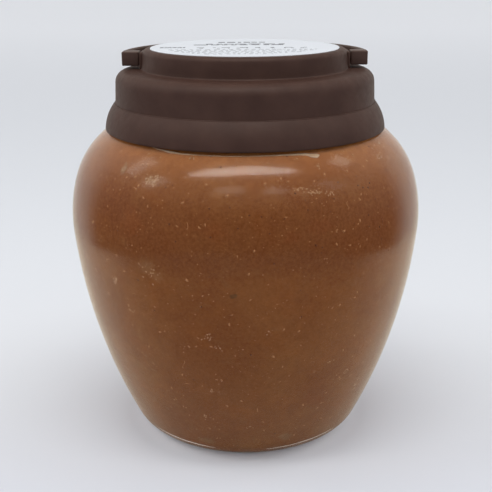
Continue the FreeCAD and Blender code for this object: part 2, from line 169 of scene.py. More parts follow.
def skinPoint(turn, height, lift=0.0):
    # a place on the outside of the paste, in metres, and the way that the skin faces there
    near = min(range(1, len(skinSide) - 1), key=lambda i: abs(skinSide[i][1] - height))
    along = Vector(skinSide[near + 1]) - Vector(skinSide[near - 1])
    out = Vector((along.y, -along.x)).normalized()
    radius = skinSide[near][0] + (height - skinSide[near][1]) * along.x / along.y + out.x * lift
    way = math.radians(turn)
    place = Vector((radius * math.sin(way), -radius * math.cos(way), height + out.y * lift)) * mm
    return place, Vector((out.x * math.sin(way), -out.x * math.cos(way), out.y))


class NodeMaker:
    # adds nodes to a tree and joins them, so that a tree reads as one line for each node
    def __init__(self, tree):
        self.tree = tree

    def add(self, kind, inputs=None, output=0, **settings):
        node = self.tree.nodes.new(kind)
        for name, value in settings.items():
            setattr(node, name, value)
        for socket, source in (inputs or {}).items():
            if isinstance(source, bpy.types.NodeSocket):
                self.tree.links.new(source, node.inputs[socket])
            else:
                node.inputs[socket].default_value = source
        return node.outputs[output]

    def math(self, operation, a, b=0.0):
        return self.add("ShaderNodeMath", {0: a, 1: b}, operation=operation)

    def vector(self, operation, *parts, output=0):
        return self.add("ShaderNodeVectorMath", dict(enumerate(parts)), output, operation=operation)

    def scaled(self, way, factor):
        return self.add("ShaderNodeVectorMath", {0: way, "Scale": factor}, operation="SCALE")


class TreeMaker(NodeMaker):
    # a geometry tree with its inputs and its finished geometry
    def __init__(self, name):
        super().__init__(bpy.data.node_groups.new(name, "GeometryNodeTree"))
        self.tree.is_modifier = True
        self.entry = self.tree.nodes.new("NodeGroupInput")
        self.exit = self.tree.nodes.new("NodeGroupOutput")
        self.tree.interface.new_socket("Geometry", in_out="OUTPUT", socket_type="NodeSocketGeometry")

    def input(self, name, kind):
        self.tree.interface.new_socket(name, in_out="INPUT", socket_type="NodeSocket" + kind)
        return self.entry.outputs[name]

    def random(self, low, high, seed):
        return self.add("FunctionNodeRandomValue", {"Min": low, "Max": high, "Seed": seed}, output=1,
                        data_type="FLOAT")

    def finish(self, geometry):
        self.tree.links.new(geometry, self.exit.inputs[0])
        return self.tree


def turnedTree():
    # turns a half section, given as a chain of points in the xz plane, about the z axis
    t = TreeMaker("turnedAboutAxis")
    section = t.input("Section", "Geometry")
    turns = t.input("Turns", "Int")
    finish = t.input("Finish", "Material")
    rows = t.add("GeometryNodeAttributeDomainSize", {"Geometry": section}, component="MESH")
    columns = t.math("ADD", turns, 1.0)
    grid = t.add("GeometryNodeMeshGrid", {"Vertices X": rows, "Vertices Y": columns})
    index = t.add("GeometryNodeInputIndex")
    row = t.math("FLOOR", t.math("DIVIDE", t.math("ADD", index, 0.5), columns))
    column = t.math("SUBTRACT", index, t.math("MULTIPLY", row, columns))
    place = t.add("GeometryNodeInputPosition")
    sample = t.add("GeometryNodeSampleIndex", {"Geometry": section, "Value": place, "Index": row},
                   data_type="FLOAT_VECTOR")
    parts = t.add("ShaderNodeSeparateXYZ", {0: sample}).node.outputs
    angle = t.math("MULTIPLY", t.math("DIVIDE", column, turns), 2 * math.pi)
    across = t.math("MULTIPLY", parts["X"], t.math("SINE", angle))
    depth = t.math("MULTIPLY", parts["X"], t.math("COSINE", angle))
    front = t.math("MULTIPLY", depth, -1.0)
    spot = t.add("ShaderNodeCombineXYZ", {"X": across, "Y": front, "Z": parts["Z"]})
    turned = t.add("GeometryNodeSetPosition", {"Geometry": grid, "Position": spot})
    merged = t.add("GeometryNodeMergeByDistance", {"Geometry": turned, "Distance": 1e-6})
    smooth = t.add("GeometryNodeSetShadeSmooth", {"Geometry": merged})
    return t.finish(t.add("GeometryNodeSetMaterial", {"Geometry": smooth, "Material": finish}))


# how bits are spread and shaped: in patches with soft borders, mostly small, narrow or broad, and rough
scatterShape = {
    "patchShift": (3.1, 7.7, 1.9),
    "patchDetail": 2.0,
    "patchFade": 0.08,
    "smallness": 2.2,
    "narrowest": 0.55,
    "wobble": 0.12,
    "wobbleScale": 900.0,
}


def scatterTree():
    # lays bits over a skin, turned to it, uneven in size, and denser where slow noise is high
    s = scatterShape
    t = TreeMaker("scatteredBits")
    skin = t.input("Skin", "Geometry")
    bit = t.input("Bit", "Object")
    density = t.input("Density", "Float")
    patchSize = t.input("PatchSize", "Float")
    patchCut = t.input("PatchCut", "Float")
    small = t.input("Small", "Float")
    large = t.input("Large", "Float")
    flatness = t.input("Flatness", "Float")
    lift = t.input("Lift", "Float")
    wobble = t.input("Wobble", "Float")
    seed = t.input("Seed", "Int")
    finish = t.input("Finish", "Material")
    place = t.add("GeometryNodeInputPosition")
    scale = t.math("DIVIDE", 1.0, patchSize)
    shifted = t.vector("ADD", place, s["patchShift"])
    patches = t.add("ShaderNodeTexNoise", {"Vector": shifted, "Scale": scale, "Detail": s["patchDetail"]})
    full = t.math("ADD", patchCut, s["patchFade"])
    patch = t.add("ShaderNodeMapRange", {"Value": patches, "From Min": patchCut, "From Max": full})
    local = t.math("MULTIPLY", density, patch)
    spread = t.add("GeometryNodeDistributePointsOnFaces",
                   {"Mesh": skin, "Density": local, "Seed": seed}).node.outputs
    spin = t.random(0.0, 2 * math.pi, seed)
    turn = t.add("ShaderNodeCombineXYZ", {"Z": spin})
    facing = t.add("FunctionNodeRotateRotation",
                   {"Rotation": spread["Rotation"], "Rotate By": turn}, rotation_space="LOCAL")
    pick = t.random(0.0, 1.0, t.math("ADD", seed, 5.0))
    mostSmall = t.math("POWER", pick, s["smallness"])
    size = t.math("ADD", small, t.math("MULTIPLY", mostSmall, t.math("SUBTRACT", large, small)))
    stretch = t.random(s["narrowest"], 1.0, t.math("ADD", seed, 9.0))
    proportions = t.add("ShaderNodeCombineXYZ", {
        "X": size, "Y": t.math("MULTIPLY", size, stretch), "Z": t.math("MULTIPLY", size, flatness)})
    shape = t.add("GeometryNodeObjectInfo", {"Object": bit}, output="Geometry")
    placed = t.add("GeometryNodeInstanceOnPoints", {
        "Points": spread["Points"], "Instance": shape, "Rotation": facing, "Scale": proportions})
    real = t.add("GeometryNodeRealizeInstances", {"Geometry": placed})
    rough = t.add("ShaderNodeTexNoise", {"Vector": place, "Scale": s["wobbleScale"], "Detail": 1.0},
                  output="Color")
    shove = t.scaled(t.vector("SUBTRACT", rough, (0.5, 0.5, 0.5)), wobble)
    uneven = t.add("GeometryNodeSetPosition", {"Geometry": real, "Offset": shove})
    sunk = t.add("GeometryNodeSetPosition", {"Geometry": uneven, "Offset": outwardsBy(t, lift)})
    smooth = t.add("GeometryNodeSetShadeSmooth", {"Geometry": sunk})
    return t.finish(t.add("GeometryNodeSetMaterial", {"Geometry": smooth, "Material": finish}))


def outwardsBy(t, distance):
    # a shift away from the jar's axis
    place = t.add("GeometryNodeInputPosition")
    flat = t.vector("MULTIPLY", place, (1.0, 1.0, 0.0))
    return t.scaled(t.vector("NORMALIZE", flat), distance)


def runTree(name, mesh, tree, values):
    # runs a tree on a mesh and returns a plain mesh object at the origin
    source = linked(name + "Source", mesh)
    modifier = source.modifiers.new("nodes", "NODES")
    modifier.node_group = tree
    for item in tree.interface.items_tree:
        if item.item_type == "SOCKET" and item.in_out == "INPUT" and item.name in values:
            modifier[item.identifier] = values[item.name]
    bpy.context.view_layer.update()
    shown = source.evaluated_get(bpy.context.evaluated_depsgraph_get())
    made = bpy.data.meshes.new_from_object(shown)
    made.name = name
    source.modifiers.clear()
    bpy.data.objects.remove(source)
    return linked(name, made)


def linked(name, data):
    # an object in the scene with the given mesh, lamp or camera
    thing = bpy.data.objects.new(name, data)
    bpy.context.scene.collection.objects.link(thing)
    return thing


def chainMesh(name, points):
    mesh = bpy.data.meshes.new(name)
    mesh.from_pydata([(r * mm, 0, z * mm) for r, z in points],
                     [(i, i + 1) for i in range(len(points) - 1)], [])
    return mesh


def outwardNormals(thing):
    work = bmesh.new()
    work.from_mesh(thing.data)
    bmesh.ops.remove_doubles(work, verts=work.verts, dist=1e-7)
    bmesh.ops.recalc_face_normals(work, faces=work.faces)
    if work.calc_volume(signed=True) < 0:
        bmesh.ops.reverse_faces(work, faces=work.faces)
    work.to_mesh(thing.data)
    work.free()
    return thing


def meshFrom(name, work, material=None):
    mesh = bpy.data.meshes.new(name)
    work.to_mesh(mesh)
    work.free()
    if material:
        mesh.materials.append(material)
    return mesh


def joinRings(work, rings):
    # faces between each ring of points and the next
    for before, after in zip(rings, rings[1:]):
        for k in range(len(before)):
            n = (k + 1) % len(before)
            work.faces.new((before[k], before[n], after[n], after[k]))


def scaledTo(middle, size):
    # what takes a unit shape at the origin to a place and a size, both in metres
    return Matrix.Translation(middle) @ Matrix.Diagonal((*size, 1))


def linear(red, green, blue):
    # the linear values of a display colour that is given as 0 to 255
    def one(value):
        value /= 255
        return value / 12.92 if value <= 0.04045 else ((value + 0.055) / 1.055) ** 2.4
    return (one(red), one(green), one(blue), 1.0)


class Finish(NodeMaker):
    # a node material, with helpers that keep each pattern on the object's own coordinates
    def __init__(self, name):
        self.material = bpy.data.materials.new(name)
        self.material.use_nodes = True
        super().__init__(self.material.node_tree)
        self.shader = self.tree.nodes["Principled BSDF"]
        self.coords = self.add("ShaderNodeTexCoord", output="Object")

    def set(self, **values):
        for name, value in values.items():
            self.shader.inputs[name.replace("_", " ")].default_value = value

    def join(self, source, socket):
        self.tree.links.new(source, self.shader.inputs[socket])

    def noise(self, grain, detail=3.0, roughness=0.55, distortion=0.0, offset=(0, 0, 0), squash=(1, 1, 1)):
        # grain is the size of the pattern in millimetres
        place = self.add("ShaderNodeMapping", {"Vector": self.coords, "Location": offset, "Scale": squash})
        return self.add("ShaderNodeTexNoise", {
            "Vector": place, "Scale": 1 / (grain * mm), "Detail": detail, "Roughness": roughness,
            "Distortion": distortion})

    def cells(self, grain, offset):
        place = self.add("ShaderNodeMapping", {"Vector": self.coords, "Location": offset})
        return self.add("ShaderNodeTexVoronoi", {"Vector": place, "Scale": 1 / (grain * mm)})

    def between(self, value, low, high, **settings):
        return self.add("ShaderNodeMapRange", {"Value": value, "From Min": low, "From Max": high}, **settings)

    def smooth(self, value, low, high):
        return self.between(value, low, high, interpolation_type="SMOOTHSTEP")

    def mix(self, factor, a, b):
        return self.add("ShaderNodeMix", {"Factor": factor, "A": a, "B": b}, output=2, data_type="RGBA")

    def lay(self, share, over, under):
        # a display colour laid over what is there, as strongly as the share says
        return self.mix(share, under, linear(*over))

    def bump(self, height, strength, distance):
        self.join(self.add("ShaderNodeBump", {
            "Height": height, "Strength": strength, "Distance": distance * mm}), "Normal")


plasticLook = {"colour": (251, 252, 252), "ior": 1.36, "roughness": 0.165, "through": 0.93}


def clearPlastic():
    look = plasticLook
    f = Finish("clearJarPlastic")
    f.set(Base_Color=linear(*look["colour"]), Transmission_Weight=1.0, IOR=look["ior"],
          Roughness=look["roughness"])
    through = f.add("ShaderNodeBsdfTransparent", {"Color": (*[look["through"]] * 3, 1)})
    # light through the wall and back from the paste isn't bent, so that the paste is lit evenly
    path = f.add("ShaderNodeLightPath").node.outputs
    passing = f.math("MAXIMUM", path["Is Shadow Ray"], path["Is Diffuse Ray"])
    both = f.add("ShaderNodeMixShader", {0: passing, 1: f.shader.outputs[0], 2: through})
    f.tree.links.new(both, f.tree.nodes["Material Output"].inputs["Surface"])
    return f.material


pasteLook = {
    # colours
    "brown": (123, 74, 31),
    "dark": (112, 60, 18),
    "orange": (130, 70, 18),
    "grey": (129, 91, 53),
    "gritPale": (156, 104, 60),
    "mottleDark": (96, 46, 12),
    "pit": (84, 42, 18),
    "waist": (79, 27, 0),
    # painted light: the paste is paler on the upper shoulder under the cap
    "crownLight": (176, 112, 62),
    # sizes of the patterns in millimetres; the ragged edges have repeats to the metre instead
    "cloud": 26.0,
    "smear": 11.0,
    "warmth": 18.7,
    "grit": 1.1,
    "mottle": 3.4,
    "pits": 2.6,
    "tearScale": 420.0,
    # how strongly each is laid over the rest
    "orangeShare": 0.5,
    "greyShare": 0.40,
    "waistShare": 0.5,
    "crownLightShare": 0.50,
    "mottleShare": 0.32,
    "gritShare": 0.30,
    "pitShare": 0.25,
    # heights in metres between which the waist and the painted crown light fade
    "waistTop": (0.120, 0.106),
    "waistFoot": (0.082, 0.094),
    "crownLightFoot": (0.116, 0.131),
}
pasteMarks = [
    # turn from the front in degrees, height, breadth, tallness, strength, colour
    (-44.8, 120.4, 1.7, 1.9, 0.60, (132, 112, 88)),
    (-31.7, 118.4, 4.4, 2.0, 0.22, (168, 132, 96)),
    (-30.3, 88.0, 4.6, 3.2, 0.24, (146, 116, 80)),
    (-27.0, 84.5, 3.2, 2.4, 0.22, (146, 116, 80)),
    (-3.7, 79.7, 1.5, 1.2, 0.75, (62, 50, 26)),
    (17.8, 11.0, 3.6, 2.2, 0.42, (132, 110, 82)),
    (-19.7, 8.6, 4.4, 1.8, 0.40, (132, 106, 74)),
    (27.5, 31.0, 6.0, 6.4, 0.40, (112, 54, 12)),
    (20.0, 36.0, 3.4, 2.6, 0.35, (112, 56, 14)),
    (22.0, 104.0, 5.0, 3.0, 0.45, (108, 50, 12)),
    (13.0, 101.0, 4.0, 2.6, 0.40, (108, 50, 12)),
    (-9.0, 103.5, 5.0, 3.4, 0.35, (112, 54, 14)),
    (-36.0, 104.0, 6.0, 5.0, 0.35, (116, 54, 12)),
    (17.0, 116.3, 5.2, 1.8, 0.28, (158, 112, 74)),
    (-9.0, 115.8, 3.6, 1.4, 0.22, (158, 112, 74)),
]


def soybeanPaste():
    look = pasteLook
    f = Finish("soybeanPaste")
    clouds = f.between(f.noise(look["cloud"], 3.0, 0.5, 0.6), 0.36, 0.66)
    smears = f.between(f.noise(look["smear"], 4.0, 0.6, 1.2, offset=(0.3, 0.1, 0.7), squash=(1, 1, 1.6)),
                       0.55, 0.78)
    warm = f.between(f.noise(look["warmth"], 3.0, 0.5, 0.4, offset=(1.3, 2.1, 0.2)), 0.5, 0.75)
    grit = f.between(f.noise(look["grit"], 4.0, 0.7), 0.3, 0.75)
    body = f.mix(clouds, linear(*look["dark"]), linear(*look["brown"]))
    body = f.lay(f.math("MULTIPLY", warm, look["orangeShare"]), look["orange"], body)
    body = f.lay(f.math("MULTIPLY", smears, look["greyShare"]), look["grey"], body)
    # darker round the waist; paler under the cap, which is painted light on the upper shoulder up to the
    # cap's hem
    height = f.add("ShaderNodeSeparateXYZ", {0: f.coords}, output=2)
    waist = f.math("MULTIPLY", f.smooth(height, *look["waistTop"]), f.smooth(height, *look["waistFoot"]))
    crownLight = f.smooth(height, *look["crownLightFoot"])
    body = f.lay(f.math("MULTIPLY", waist, look["waistShare"]), look["waist"], body)
    body = f.lay(f.math("MULTIPLY", crownLight, look["crownLightShare"]), look["crownLight"], body)
    # smears, stains and pale spots at set places, with ragged edges
    tears = f.add("ShaderNodeTexNoise", {"Vector": f.coords, "Scale": look["tearScale"], "Detail": 3.0},
                  output=1)
    ragged = f.vector("SUBTRACT", tears, (0.5, 0.5, 0.5))
    for turn, high, breadth, tallness, strength, colour in pasteMarks:
        middle = skinPoint(turn, high)[0]
        apart = f.vector("SUBTRACT", f.coords, middle)
        turned = f.add("ShaderNodeVectorRotate", {"Vector": apart, "Angle": -math.radians(turn)},
                       rotation_type="Z_AXIS")
        reach = (1 / (breadth * mm), 0.3 / (breadth * mm), 1 / (tallness * mm))
        shaped = f.vector("MULTIPLY", turned, reach)
        torn = f.vector("MULTIPLY_ADD", ragged, (1.4, 1.4, 1.4), shaped)
        away = f.vector("LENGTH", torn, output="Value")
        body = f.lay(f.math("MULTIPLY", f.smooth(away, 1.15, 0.45), strength), colour, body)
    mottle = f.between(f.noise(look["mottle"], 3.0, 0.6, 0.8, offset=(0.7, 0.2, 1.1)), 0.36, 0.64)
    body = f.lay(f.math("MULTIPLY", mottle, look["mottleShare"]), look["mottleDark"], body)
    body = f.lay(f.math("MULTIPLY", grit, look["gritShare"]), look["gritPale"], body)
    pits = f.between(f.cells(look["pits"], offset=(0.4, 0.9, 0.1)), 0.13, 0.06)
    f.join(f.lay(f.math("MULTIPLY", pits, look["pitShare"]), look["pit"], body), "Base Color")
    f.set(Roughness=0.55, Specular_IOR_Level=0.12)
    f.bump(grit, 0.25, 0.12)
    return f.material


def bitFinish(name, dark, light, grain=0.8):
    f = Finish(name)
    blend = f.between(f.noise(grain, 2.0), 0.3, 0.7)
    f.join(f.mix(blend, linear(*dark), linear(*light)), "Base Color")
    f.set(Roughness=0.5, Specular_IOR_Level=0.15)
    f.bump(blend, 0.2, 0.08)
    return f.material


# matted plastic: the grains of its shade, wear and fine texture in millimetres
mattedLook = {"shade": 9.0, "wear": 2.2, "grain": 0.32, "smoother": 0.05, "rougher": 0.06, "gloss": 0.28}
capLook = {"dark": (60, 38, 31), "light": (68, 45, 37), "roughness": 0.56}
bailLook = {"dark": (66, 48, 42), "light": (75, 56, 50), "roughness": 0.46}


def mattedBrown(name, dark, light, roughness):
    look = mattedLook
    f = Finish(name)
    shade = f.between(f.noise(look["shade"], 3.0), 0.3, 0.7)
    f.join(f.mix(shade, linear(*dark), linear(*light)), "Base Color")
    fine = f.noise(look["grain"], 2.0, 0.6)
    wear = f.between(f.noise(look["wear"], 3.0, 0.6, offset=(0.2, 0.5, 0.4)), 0.3, 0.7)
    f.join(f.add("ShaderNodeMapRange", {"Value": wear, "To Min": roughness - look["smoother"],
                                        "To Max": roughness + look["rougher"]}), "Roughness")
    f.set(Specular_IOR_Level=look["gloss"])
    f.bump(fine, 0.35, 0.05)
    return f.material


paperLook = {"dark": (191, 196, 204), "light": (199, 204, 212), "fibre": 0.5}
inkLook = {"dark": (46, 50, 58), "light": (70, 74, 82), "patch": 0.4}


def labelPaper():
    look = paperLook
    f = Finish("labelPaper")
    fibres = f.between(f.noise(look["fibre"], 3.0, squash=(1, 3, 1)), 0.3, 0.7)
    f.join(f.mix(fibres, linear(*look["dark"]), linear(*look["light"])), "Base Color")
    f.set(Roughness=0.55)
    f.bump(fibres, 0.1, 0.02)
    return f.material


def labelInk():
    look = inkLook
    f = Finish("labelInk")
    patchy = f.between(f.noise(look["patch"], 2.0), 0.35, 0.65)
    f.join(f.mix(patchy, linear(*look["dark"]), linear(*look["light"])), "Base Color")
    f.set(Roughness=0.6)
    return f.material


turned = turnedTree()
scattered = scatterTree()


def makeJar(material):
    s = jarShape
    rim = jarBox[1].z / mm
    outside = jarSection(0, 0, rim - s["lipRound"])
    inside = jarSection(s["wall"], s["neckWall"], rim - s["lipRound"])
    lip = s["lipRound"]
    outer = s["neckRadius"]
    inner = s["neckRadius"] - s["neckWall"]
    crest = arcPoints((outer - lip, rim - lip), lip, 0, math.pi / 2, step=0.15)[1:]
    crest += arcPoints((inner + lip, rim - lip), lip, math.pi / 2, math.pi, step=0.15)[:-1]
    section = outside + crest + inside[::-1]
    jar = runTree("jarShell", chainMesh("jarSection", section), turned,
                  {"Turns": s["turns"], "Finish": material})
    return outwardNormals(jar)


def makePaste(material):
    p = pasteShape
    s = jarShape
    level = pasteBox[1].z / mm
    side = jarSection(s["wall"] - p["intoWall"], s["neckWall"] - p["intoWall"], level - p["mound"])
    top = straightPoints(side[-1], (0, side[-1][1]), step=1.5)[1:]
    paste = runTree("soybeanPaste", chainMesh("pasteSection", side + top), turned,
                    {"Turns": p["turns"], "Finish": material})
    outwardNormals(paste)
    reach = s["neckRadius"] - s["neckWall"]
    for vertex in paste.data.vertices:
        place = vertex.co
        if place.z > (level - p["mound"]) * mm - 1e-6:
            edge = min(1, (reach * mm - math.hypot(place.x, place.y)) / (p["moundEdge"] * mm))
            rise = noise.noise(place / (p["moundGrain"] * mm))
            rise += p["lumpShare"] * noise.noise(place / (p["lumpGrain"] * mm))
            vertex.co.z += p["mound"] * mm * max(0, min(1, edge)) * max(-1, min(1, rise))
    return paste


clearMaterial = clearPlastic()
pasteMaterial = soybeanPaste()
jar = makeJar(clearMaterial)
paste = makePaste(pasteMaterial)
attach(jar, "jar")
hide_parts("jar")
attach(paste, "jar")
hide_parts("paste")
print("jar and paste:", len(jar.data.polygons), len(paste.data.polygons))


def skinBand(lowest, highest):
    # the outside of the paste between two heights, as a mesh for scattering on
    work = bmesh.new()
    work.from_mesh(paste.data)
    away = [face for face in work.faces
            if not lowest * mm < face.calc_center_median().z < highest * mm
            or face.normal.to_2d().dot(face.calc_center_median().to_2d()) < 0]
    bmesh.ops.delete(work, geom=away, context="FACES")
    return meshFrom("pasteSkin", work)


def lump(name, seed, unevenness=0.25):
    # a small uneven grain, a unit across
    work = bmesh.new()
    bmesh.ops.create_icosphere(work, subdivisions=1, radius=0.5)
    rng = random.Random(seed)
    for vertex in work.verts:
        vertex.co *= 1 + rng.uniform(-unevenness, unevenness)
    return meshFrom(name, work)


def shred(name, bend, width, sides=5, steps=7, taper=0.8):
    # a short curved fibre, a unit long, lying flat and thinner at its ends
    work = bmesh.new()
    rings = []
    for i in range(steps + 1):
        t = i / steps - 0.5
        thick = width * (1 - (2 * abs(t)) ** 3 * taper)
        middle = Vector((t, bend * t * t, 0))
        ring = []
        for k in range(sides):
            a = 2 * math.pi * k / sides
            ring.append(work.verts.new(middle + Vector((0, math.cos(a) * thick, math.sin(a) * thick))))
        rings.append(ring)
    joinRings(work, rings)
    work.faces.new(rings[0][::-1])
    work.faces.new(rings[-1])
    bmesh.ops.recalc_face_normals(work, faces=work.faces)
    return meshFrom(name, work)


def bubbleHighlightRing(name, steps=20, radius=0.42, tube=0.05, sides=5):
    # the thin rim of an air pocket against the wall, a unit across; its pale colour is a painted highlight
    work = bmesh.new()
    rings = []
    for i in range(steps):
        a = 2 * math.pi * i / steps
        way = Vector((math.cos(a), math.sin(a), 0))
        ring = []
        for k in range(sides):
            b = 2 * math.pi * k / sides
            place = way * (radius + math.cos(b) * tube)
            ring.append(work.verts.new(place + Vector((0, 0, math.sin(b) * tube))))
        rings.append(ring)
    joinRings(work, rings + rings[:1])
    bmesh.ops.recalc_face_normals(work, faces=work.faces)
    return meshFrom(name, work)


allOver = (3, 127.5)
bitKinds = {
    # shape, count for each square metre, heights, patches, sizes in mm, flatness, lift, colours
    "beanFlecks": {"shape": lump("fleck", 3), "density": 38000, "band": allOver, "patch": (18, 0.30),
                   "size": (0.4, 1.5), "flat": 0.34, "lift": -0.10, "dark": (140, 92, 52),
                   "light": (166, 118, 76), "seed": 11},
    "beanGrit": {"shape": lump("grit", 8), "density": 130000, "band": allOver, "patch": (9, 0.46),
                 "size": (0.25, 0.6), "flat": 0.5, "lift": -0.06, "dark": (144, 98, 58),
                 "light": (172, 126, 84), "seed": 23},
    "beanSkins": {"shape": shred("skin", 0.7, 0.07), "density": 1500, "band": allOver, "patch": (22, 0.36),
                  "size": (1.2, 3.0), "flat": 1.0, "lift": -0.06, "dark": (152, 104, 60),
                  "light": (178, 130, 84), "seed": 47},
    "darkSpecks": {"shape": lump("speck", 9), "density": 3600, "band": allOver, "patch": (30, 0.34),
                   "size": (0.35, 0.95), "flat": 0.5, "lift": -0.04, "dark": (66, 34, 14),
                   "light": (88, 48, 22), "seed": 59},
    "shoulderSpecks": {"shape": lump("speck", 12), "density": 9000, "band": (99, 122), "patch": (16, 0.46),
                       "size": (0.4, 0.9), "flat": 0.5, "lift": -0.03, "dark": (56, 28, 12),
                       "light": (74, 38, 18), "seed": 83},
}


def makeBits():
    for name, kind in bitKinds.items():
        shape = linked(name + "Shape", kind["shape"])
        material = bitFinish(name + "Finish", kind["dark"], kind["light"])
        patchSize, patchCut = kind["patch"]
        small, large = kind["size"]
        bits = runTree(name, skinBand(*kind["band"]), scattered, {
            "Bit": shape, "Density": float(kind["density"]), "PatchSize": patchSize * mm,
            "PatchCut": patchCut, "Small": small * mm, "Large": large * mm, "Flatness": kind["flat"],
            "Lift": kind["lift"] * mm, "Wobble": scatterShape["wobble"] * mm, "Seed": kind["seed"],
            "Finish": material})
        bpy.data.objects.remove(shape)
        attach(bits, "jar")
        print("bits:", name, len(bits.data.polygons))


crumbClusters = [
    # turn, height, breadth and tallness of the cluster, how many grains, their size
    (-31.7, 118.5, 3.6, 1.7, 46, 0.55),
    (-29.0, 120.0, 1.6, 0.8, 12, 0.5),
    (15.7, 117.0, 3.4, 0.6, 16, 0.45),
    (21.5, 115.6, 4.2, 1.0, 34, 0.5),
    (27.0, 114.6, 2.2, 0.8, 12, 0.45),
    (54.7, 122.3, 2.4, 1.6, 16, 0.6),
    (63.0, 125.2, 1.6, 1.2, 12, 0.6),
    (25.5, 123.2, 0.8, 0.7, 6, 0.5),
    (-19.5, 126.1, 1.6, 0.8, 9, 0.5),
    (-6.8, 123.2, 0.8, 0.8, 5, 0.45),
    (-29.0, 86.0, 3.4, 3.6, 26, 0.45),
    (-12.0, 62.0, 2.2, 1.8, 14, 0.5),
    (-8.5, 58.0, 2.0, 1.4, 10, 0.5),
    (-39.0, 68.0, 1.6, 1.8, 10, 0.5),
    (6.5, 64.0, 1.0, 0.8, 6, 0.45),
    (-12.5, 37.0, 1.4, 0.8, 8, 0.5),
    (49.5, 30.0, 2.0, 3.4, 20, 0.6),
    (30.0, 47.0, 2.2, 0.9, 9, 0.45),
    (-16.5, 23.0, 2.4, 1.6, 12, 0.45),
    (-44.0, 79.0, 1.8, 2.2, 12, 0.5),
    (1.0, 18.5, 1.8, 0.6, 8, 0.45),
    (142.0, 112.0, 5.0, 2.0, 34, 0.55),
    (-118.0, 96.0, 3.2, 2.4, 22, 0.5),
    (174.0, 52.0, 2.6, 3.0, 18, 0.5),
    (-152.0, 34.0, 2.4, 2.0, 14, 0.5),
    (96.0, 70.0, 2.0, 2.4, 16, 0.5),
    (-92.0, 30.0, 2.6, 1.8, 14, 0.5),
]
bubbleHighlightRings = [
    # turn, height, size of an air pocket's pale rim, a painted highlight
    (39.1, 39.6, 2.6), (43.0, 36.2, 1.6), (37.2, 36.6, 1.2), (-44.8, 120.4, 1.8), (24.2, 44.0, 1.2),
    (60.0, 121.0, 2.0), (-128.0, 62.0, 2.2), (162.0, 90.0, 1.8), (118.0, 40.0, 2.4),
]
darkDots = [
    # turn, height, size of the larger dark bits of bean skin
    (-10.6, 111.2, 0.84), (-8.3, 124.1, 0.84), (1.1, 109.2, 0.67), (4.6, 108.7, 0.67), (7.5, 108.2, 0.59),
    (11.2, 107.6, 0.67), (18.6, 110.0, 0.59), (21.6, 109.6, 0.5), (25.7, 108.5, 0.59), (39.6, 105.0, 0.59),
    (43.7, 109.8, 0.59), (49.4, 105.7, 0.59), (47.5, 99.0, 0.55), (54.2, 118.0, 0.67), (20.4, 97.6, 0.92),
    (22.1, 94.5, 0.55), (8.0, 92.1, 0.59), (44.6, 95.0, 0.63), (-23.2, 117.8, 0.5), (-28.1, 117.2, 0.5),
    (-29.4, 109.4, 0.59), (-41.1, 99.4, 0.63), (-20.3, 99.1, 0.76), (-5.0, 118.7, 0.42), (-12.5, 126.9, 0.5),
    (15.1, 126.8, 0.59), (-34.0, 82.0, 0.8), (17.0, 70.0, 0.7), (1.5, 55.0, 0.8), (-10.0, 101.5, 0.7),
    (126.0, 104.0, 0.8), (141.0, 92.0, 0.6), (168.0, 108.0, 0.7), (-172.0, 74.0, 0.7), (-140.0, 110.0, 0.6),
    (-104.0, 88.0, 0.8), (-76.0, 104.0, 0.6), (84.0, 96.0, 0.7), (102.0, 50.0, 0.7),
]


def onSkin(turn, height, lift, size, spin):
    # how a unit shape is turned, sized and moved to lie on the skin of the paste
    place, facing = skinPoint(turn, height, lift)
    upright = facing.to_track_quat("Z", "Y").to_matrix().to_4x4()
    return (Matrix.Translation(place) @ upright @ Matrix.Rotation(spin, 4, "Z")
            @ Matrix.Diagonal((*(Vector(size) * mm), 1)))


def layOnSkin(work, shape, *where):
    # adds a shape to the work, laid on the skin as onSkin says
    first = len(work.verts)
    work.from_mesh(shape)
    work.verts.ensure_lookup_table()
    matrix = onSkin(*where)
    for vertex in work.verts[first:]:
        vertex.co = matrix @ vertex.co


def makeCrumbs(material):
    # pale crumbs of bean, pressed together against the wall
    rng = random.Random(19)
    shapes = [lump("crumb%d" % i, i) for i in range(4)]
    work = bmesh.new()
    for turn, height, breadth, tallness, count, size in crumbClusters:
        radius = math.hypot(*skinPoint(turn, height)[0].xy) / mm
        for i in range(count):
            aside, up = rng.gauss(0, 0.5) * breadth, rng.gauss(0, 0.5) * tallness
            grain = size * rng.uniform(0.5, 1.5)
            layOnSkin(work, rng.choice(shapes), turn + math.degrees(aside / radius), height + up, -0.06,
                      (grain * rng.uniform(0.8, 1.7), grain, grain * 0.45), rng.uniform(0, math.pi))
    return finishedBits("crumbs", work, material)


def makeBubbleHighlights(material):
    rng = random.Random(7)
    shape = bubbleHighlightRing("ring")
    work = bmesh.new()
    for turn, height, size in bubbleHighlightRings:
        layOnSkin(work, shape, turn, height, 0.0, (size, size * rng.uniform(0.7, 0.95), size * 0.6),
                  rng.uniform(0, math.pi))
    return finishedBits("airPockets", work, material)


def makeDots(material):
    rng = random.Random(31)
    shape = lump("dot", 5)
    work = bmesh.new()
    for turn, height, size in darkDots:
        layOnSkin(work, shape, turn, height, -0.05, (size * rng.uniform(0.9, 1.3), size, size * 0.4),
                  rng.uniform(0, math.pi))
    return finishedBits("darkDots", work, material)


def smoothMesh(mesh):
    for face in mesh.polygons:
        face.use_smooth = True
        face.material_index = 0
    return mesh


def finishedBits(name, work, material):
    mesh = smoothMesh(meshFrom(name, work, material))
    bits = linked(name, mesh)
    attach(bits, "jar")
    print("bits:", name, len(mesh.polygons))
    return bits


